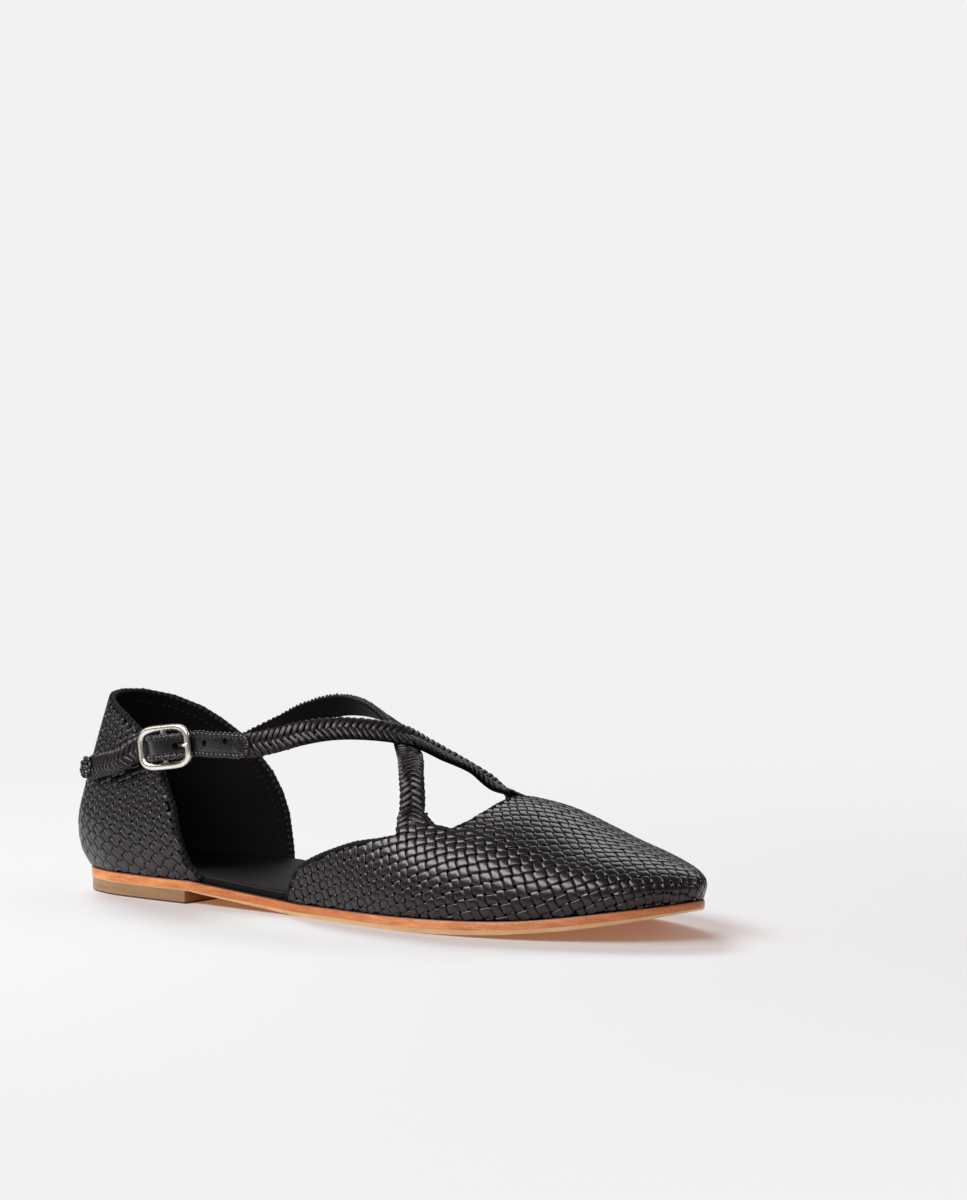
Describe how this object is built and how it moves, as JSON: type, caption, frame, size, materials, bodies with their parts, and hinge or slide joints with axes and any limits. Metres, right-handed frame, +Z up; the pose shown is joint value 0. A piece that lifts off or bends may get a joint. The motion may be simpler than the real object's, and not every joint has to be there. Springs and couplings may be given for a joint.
{
  "type": "woven leather flat shoe",
  "caption": "Low right shoe with a woven leather toe and heel piece, open at both sides, with crossed braided instep straps and a small buckle on the outer side.",
  "frame": {"origin": "centre of the bounding box on the floor the shoe stands on", "axes": "+X to the toe, +Y to the inner side of the foot, +Z up"},
  "size_m": [0.2532, 0.0814, 0.0687],
  "materials": {
    "sole_leather": "waxed tan edge with a pale bevel",
    "heel_stack": "satin brown",
    "lining": "matte black",
    "woven_leather": "black, soft gloss",
    "braid": "black, satin",
    "strap_leather": "black, satin",
    "buckle_metal": "polished, plated pale gold"
  },
  "bodies": {
    "root": {"outsole": "sole_leather", "heel_block": "heel_stack", "insole": "lining", "vamp": "woven_leather", "quarter": "woven_leather", "cross_strap": "braid", "buckle_strap": "braid", "hole_patch": "strap_leather", "strap_tail": "braid", "buckle_frame": "buckle_metal", "buckle_prong": "buckle_metal", "buckle_tab": "strap_leather"}
  },
  "joints": []
}
